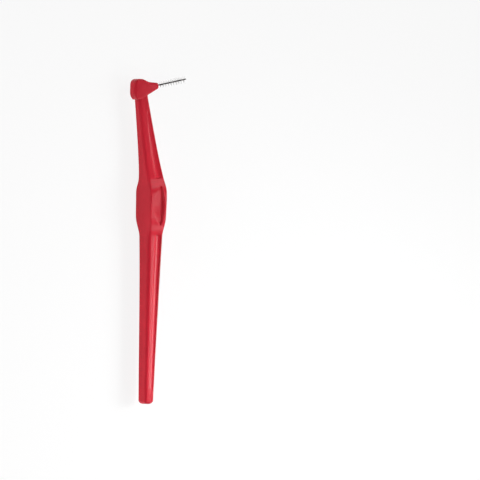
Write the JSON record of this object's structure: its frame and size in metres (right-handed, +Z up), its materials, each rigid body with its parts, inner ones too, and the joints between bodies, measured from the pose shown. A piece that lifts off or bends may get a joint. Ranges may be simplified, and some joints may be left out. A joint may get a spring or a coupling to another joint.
{
  "type": "interdental brush",
  "caption": "Hand-held interdental brush: slim cored plastic handle with a pinch grip, a leaning neck and a nosed head holding a twisted-wire bristle brush at an angle.",
  "frame": {"origin": "centre of the bounding box at its bottom, with the brush lying on its side", "axes": "+X along the lower handle towards the head, +Y to the smooth back of the handle and away from the wire, +Z up, square to the moulding's parting plane"},
  "size_m": [0.1064, 0.0206, 0.0092],
  "materials": {
    "red_plastic": "glossy moulded",
    "wire_steel": "drawn",
    "nylon": "translucent"
  },
  "bodies": {
    "root": {"handle": "red_plastic", "twisted_wire": "wire_steel", "filaments": "nylon"}
  },
  "joints": []
}
